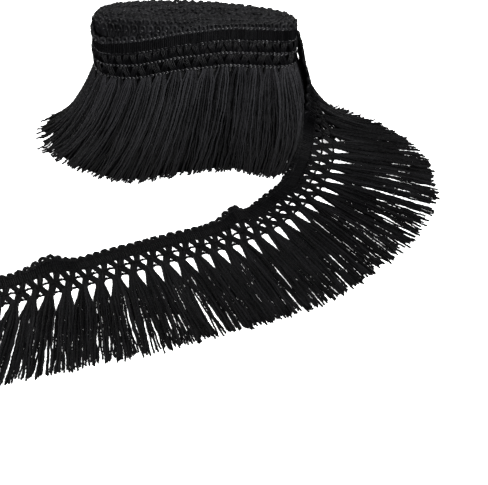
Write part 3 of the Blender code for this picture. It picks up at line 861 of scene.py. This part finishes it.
# Wound roll: the band of every turn, and the net and stitches of the outer one
rollBand = makeSheet("roll_band", [
    sheetGrid(rollPlace, -band["overlap"], outerLength, bandTop, bandFoot, columns=260, rows=6),
    sheetGrid(rollPlace, outerLength, rollLength, bandTop, innerFoot, columns=700, rows=8),
], band["sheetThickness"], bandYarn)
innerBand = dict(band, ribPoints=3, ribFoot=4.5 * mm)
rollRibs = makeYarn("roll_ribs", [
    (bandRibs(rollPlace, -0.6 * mm, outerLength, trim["lineB"], band), 1.0)], bandYarn, ribYarn)
innerRibs = makeYarn("roll_inner_ribs", [
    (bandRibs(rollPlace, outerLength, rollLength, innerBand["ribFoot"], innerBand), 1.0)],
    loopYarnPaintedLight, ribYarn)
halfPitches = np.arange(-0.5, rollLength / trim["pitch"] * 2) * trim["pitch"] / 2
rims = halfPitches[halfPitches < outerLength]
inner = halfPitches[halfPitches > outerLength]
innerLoops = [                  # two thinner rows on each inner turn, set off from each other
    (scallopYarns(rollPlace, inner + shift * trim["pitch"], dict(band, loopLift=lift)), innerScale)
    for shift, lift in ((-0.12, -0.55 * mm), (0.12, 0.35 * mm))]
rollScallops = makeYarn("roll_scallops", innerLoops + [
    (scallopYarns(rollPlace, rims, band), 0.85),
    (lineYarn(rollPlace, -band["overlap"], rollLength, "lineA", 0.0), 0.5)],
    loopYarnPaintedLight, scallopYarn)
outerCentres = centresOf(outerTassels)
rollNetPiece = makeYarn("roll_net", netYarns(rollPlace, outerCentres, dict(net, puff=0.75 * mm)) + [
    (lineYarn(rollPlace, 0.0, outerLength, line, band["rollLineLift"]), 0.95)
    for line in ("lineB", "lineC", "lineD")], bandYarn, netYarn)
outerLinks = np.arange(-0.4 * mm, outerLength, band["linkPitch"])
innerLinks = np.arange(outerLength, rollLength, band["linkPitch"])
rollStitches = makeStitches("roll_stitches", [
    stitchLine(rollPlace, outerLinks, trim["lineA"], band["linkLift"]),
    stitchLine(rollPlace, outerLinks, trim["lineB"], band["linkLift"]),
    stitchLine(rollPlace, outerLinks, trim["lineC"], band["knotLinkLift"]),
    stitchLine(rollPlace, outerLinks, trim["lineD"], band["knotLinkLift"]),
    stitchLine(rollPlace, innerLinks, trim["lineA"], band["linkLift"]),
], stitchYarn)

# The fringe of the outer turn, side by side, and the mass of the inner turns' fringe behind it
sideOf = dict(right=(-0.06, 0.182), back=(0.182, 0.44), left=(0.44, 0.56), front=(0.56, 0.94))
netTurns = np.linspace(0.0, 1.0, 721) - roll["leaving"]
netAlong = pathLength(rollNet(netTurns, 0.0) * np.array([1.0, 1.0, 0.0]))
lengthShares = netAlong / netAlong[-1]
tasselShares = np.interp((turnAt(outerCentres) + roll["leaving"]) % 1.0, netTurns + roll["leaving"],
                         lengthShares)


def leftStray(s):
    # Strands at the roll's left end sweep outwards, a few of them far
    across = np.cos(2 * np.pi * (roll["leaving"] + turnAt(s)))
    push = np.maximum(0.0, -across - 0.55) / 0.45
    return push * np.abs(rng.standard_t(3.0, s.shape)).clip(0.0, 4.0) * 1.6 * mm


for side, (begin, end) in sideOf.items():
    wrapped = np.where(tasselShares > end, tasselShares - 1.0, tasselShares)
    own = outerCentres[(wrapped >= begin) & (wrapped < end)]
    # Inner and corner strands keep less of the tint: painted shade behind the outer strands
    bundles = [
        (rollStrands(own, strandCount["outer"], -0.2 * mm, leftStray), 0.88),
        (rollStrands(own, strandCount["inner"], 1.1 * mm, leftStray), 1.0, 0.15),
    ]
    turned = own[np.cos(2 * np.pi * (roll["leaving"] + turnAt(own))) > 0.45]
    if len(turned):             # more strands at the right end, where the fringe spreads
        bundles.append((rollStrands(turned, strandCount["corner"], 0.5 * mm, leftStray), 0.95, 0.4))
    piece = makeYarn(f"roll_tassels_{side}", bundles, tasselYarn, strandYarn)
    finishPiece(piece, [f"roll_fringe_{side}"])

coreInset = 3.0 * mm            # how far the plain core lies inside the outer turn's tassel line
coreTurns = np.linspace(0.0, 1.0, 241)[:-1]
coreAlong = np.interp(coreTurns, rollTurns, rollAlong)
coreDepth = coreInset + roll["turn"] * (1 - coreTurns)
corePoints = np.array([rollHang(coreAlong, np.full_like(coreTurns, share), coreDepth)
                       for share in (1.0, 0.85, 0.66, 0.5, 0.33, 0.15, 0.0)])
rings, around = corePoints.shape[:2]
grid = np.arange(rings * around).reshape(rings, around)
nextRound = np.roll(grid, -1, axis=1)
wallFaces = np.stack([grid[:-1], nextRound[:-1], nextRound[1:], grid[1:]], -1).reshape(-1, 4)
coreFaces = [list(map(int, face)) for face in wallFaces]
coreFaces.append([int(i) for i in grid[0][::-1]])
coreFaces.append([int(i) for i in grid[-1]])
rollCore = addMesh("roll_core", corePoints.reshape(-1, 3), (), coreFaces)
rollCore.data.materials.append(bandYarn)
rollCore.data.shade_smooth()

finishPiece(rollBand, ["wound_roll"])
for piece in (rollRibs, innerRibs, rollScallops, rollNetPiece, rollStitches, rollCore):
    finishPiece(piece)
bpy.data.objects.remove(link)
print("wound roll done")

# Pale floor, soft light and the photo's angle
studio = dict(
    floorSize=3.0,
    floorColour=(0.93, 0.93, 0.93),
    floorGlow=0.6,              # the floor is lit a little from below, like a light table
    skyFront=0.6,               # the sky's strength towards the camera's side
    skyBack=0.3,                # behind the trim
    skyBelow=0.02,              # and under the floor
    camera=(0.0215, -0.5547, 0.373),
    cameraDown=38.0,            # degrees below level
    focalPixels=1450.0,         # at the photo's width
    photoWidth=488,
    sensor=36.0,
)
floor = addMesh("floor", [(x * studio["floorSize"], y * studio["floorSize"], 0.0)
                          for x, y in ((-1, -1), (1, -1), (1, 1), (-1, 1))], (), [(0, 1, 2, 3)])
floorPaper = bpy.data.materials.new("floorPaper")
floorPaper.use_nodes = True
paper = floorPaper.node_tree.nodes["Principled BSDF"]
paper.inputs["Base Color"].default_value = (*studio["floorColour"], 1.0)
paper.inputs["Roughness"].default_value = 0.9
paper.inputs["Emission Color"].default_value = (1.0, 1.0, 1.0, 1.0)
paper.inputs["Emission Strength"].default_value = studio["floorGlow"]
floor.data.materials.append(floorPaper)
floor.visible_diffuse = False      # the yarn gets no light back from the floor
floor.visible_glossy = False

world = bpy.data.worlds.new("studioSky")
world.use_nodes = True
sky = world.node_tree
sky.nodes["Background"].inputs["Color"].default_value = (1.0, 1.0, 1.0, 1.0)
heading = addNode(sky, "ShaderNodeTexCoord")
split = addNode(sky, "ShaderNodeSeparateXYZ", {"Vector": heading.outputs["Generated"]})
fade = addNode(sky, "ShaderNodeMapRange", {
    "Value": split.outputs["Y"], "From Min": -0.2, "From Max": 0.6,
    "To Min": studio["skyFront"], "To Max": studio["skyBack"]})
above = addNode(sky, "ShaderNodeMath", {0: split.outputs["Z"], 1: 0.0}, operation="GREATER_THAN")
level = addNode(sky, "ShaderNodeMapRange", {
    "Value": above.outputs[0], "To Min": studio["skyBelow"], "To Max": fade.outputs[0]})
sky.links.new(level.outputs[0], sky.nodes["Background"].inputs["Strength"])
bpy.context.scene.world = world


def addSoftbox(name, place, aim, size, power):
    lamp = bpy.data.lights.new(name, "AREA")
    lamp.shape = "SQUARE"
    lamp.size = size
    lamp.energy = power
    box = bpy.data.objects.new(name, lamp)
    box.location = place
    box.rotation_euler = (Vector(aim) - Vector(place)).to_track_quat("-Z", "Y").to_euler()
    bpy.context.scene.collection.objects.link(box)


softboxes = dict(
    front=dict(place=(0.25, -1.25, 0.85), aim=(0.0, -0.03, 0.03), size=0.3, power=62.0),
    rear=dict(place=(0.3, 0.9, 1.1), aim=(0.0, 0.0, 0.0), size=0.9, power=9.0),
    left=dict(place=(-1.3, 0.75, 0.5), aim=(0.0, 0.0, 0.03), size=0.5, power=22.0),
    right=dict(place=(1.3, 0.75, 0.5), aim=(0.0, 0.0, 0.03), size=0.5, power=22.0),
)
for side, box in softboxes.items():
    addSoftbox(side + "Softbox", **box)
print("studio done")

cameraData = bpy.data.cameras.new("photoCamera")
cameraData.sensor_width = studio["sensor"]
cameraData.lens = studio["focalPixels"] * studio["sensor"] / studio["photoWidth"]
cameraData.clip_start = 0.01
camera = bpy.data.objects.new("photoCamera", cameraData)
camera.location = studio["camera"]
camera.rotation_euler = (np.radians(90.0 - studio["cameraDown"]), 0.0, 0.0)
bpy.context.scene.collection.objects.link(camera)
bpy.context.scene.camera = camera
bpy.context.scene.view_settings.view_transform = "Standard"

print("pieces", len(allPieces), "triangles",
      sum(len(p.vertices) - 2 for piece in allPieces for p in piece.data.polygons))
